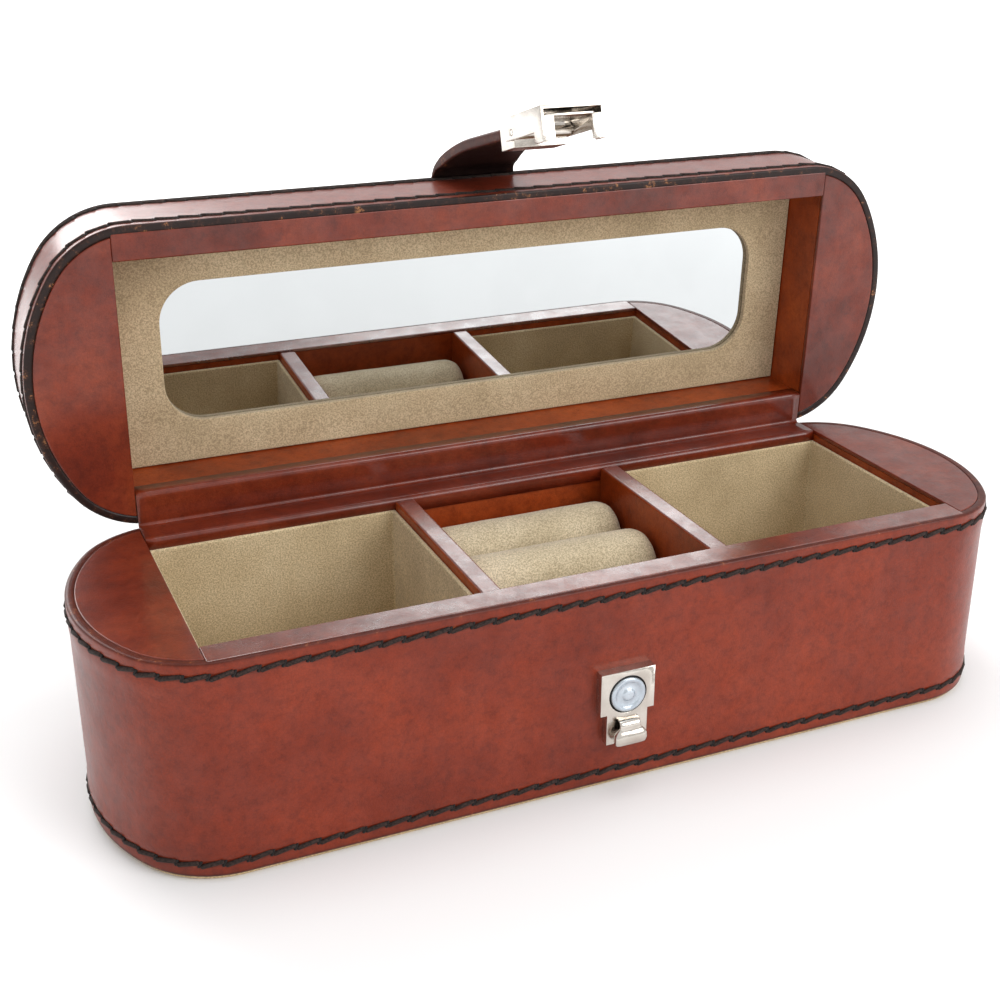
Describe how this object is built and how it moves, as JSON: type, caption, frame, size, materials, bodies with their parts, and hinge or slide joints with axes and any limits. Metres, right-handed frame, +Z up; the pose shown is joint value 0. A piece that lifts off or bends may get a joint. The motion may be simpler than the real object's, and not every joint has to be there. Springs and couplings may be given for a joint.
{
  "type": "leather jewellery case",
  "caption": "Long leather jewellery case with crowned ends, a hinged mirror lid, suede-lined compartments, ring rolls and a strap clasp.",
  "frame": {"origin": "centre of the underside of the base, on the table", "axes": "+X along the case's length, +Y from the front to the hinge, +Z up"},
  "size_m": [0.25, 0.107, 0.1635],
  "materials": {
    "tan_leather": "glazed bridle leather, burnished edges, dark waxed stitching",
    "inner_leather": "dark glazed leather",
    "suede": "short-nap suede",
    "board": "raw board",
    "nickel": "polished nickel plate",
    "rivet": "bright zinc, spun",
    "mirror": "silvered glass"
  },
  "bodies": {
    "base": {"base_sole": "suede", "base_board": "board", "base_wall": "tan_leather", "front_core": "board", "back_core": "board", "left_end_core": "board", "right_end_core": "board", "left_end_leather": "tan_leather", "right_end_leather": "tan_leather", "front_rim_leather": "tan_leather", "base_hinge_leather": "tan_leather", "well_facing": "inner_leather", "left_lining": "suede", "right_lining": "suede", "middle_floor": "suede", "left_divider_board": "board", "right_divider_board": "board", "left_divider_leather": "inner_leather", "right_divider_leather": "inner_leather", "ring_roll_bed": "suede", "ring_roll_front": "suede", "ring_roll_middle": "suede", "ring_roll_back": "suede", "lock_plate": "nickel", "lock_rivet": "rivet", "lock_hook": "nickel"},
    "lid": {"lid_wall": "tan_leather", "lid_top_leather": "tan_leather", "lid_board": "board", "lid_front_core": "board", "lid_back_core": "board", "lid_left_core": "board", "lid_right_core": "board", "lid_left_leather": "tan_leather", "lid_right_leather": "tan_leather", "lid_rim_leather": "tan_leather", "lid_hinge_leather": "tan_leather", "lid_facing": "inner_leather", "mirror": "mirror", "mirror_frame": "suede", "strap_root": "inner_leather"},
    "strap": {"strap_tongue": "inner_leather", "strap_clamp": "nickel", "clasp_pin": "nickel"},
    "clasp_lever": {"clasp_cap": "nickel", "catch_spring": "nickel"}
  },
  "joints": [
    {"name": "lid_hinge", "type": "hinge", "parent": "base", "child": "lid", "pos_m": [0, 0.0395, 0.05665], "axis": [1, 0, 0], "range_deg": [-13, 87]},
    {"name": "strap_flex", "type": "hinge", "parent": "lid", "child": "strap", "pos_m": [0, 0.05607, 0.13693], "axis": [1, 0, 0], "range_deg": [-40, 15.5]},
    {"name": "clasp_pivot", "type": "hinge", "parent": "strap", "child": "clasp_lever", "pos_m": [0, 0.01145, 0.15506], "axis": [1, 0, 0], "range_deg": [-70, 0]}
  ]
}
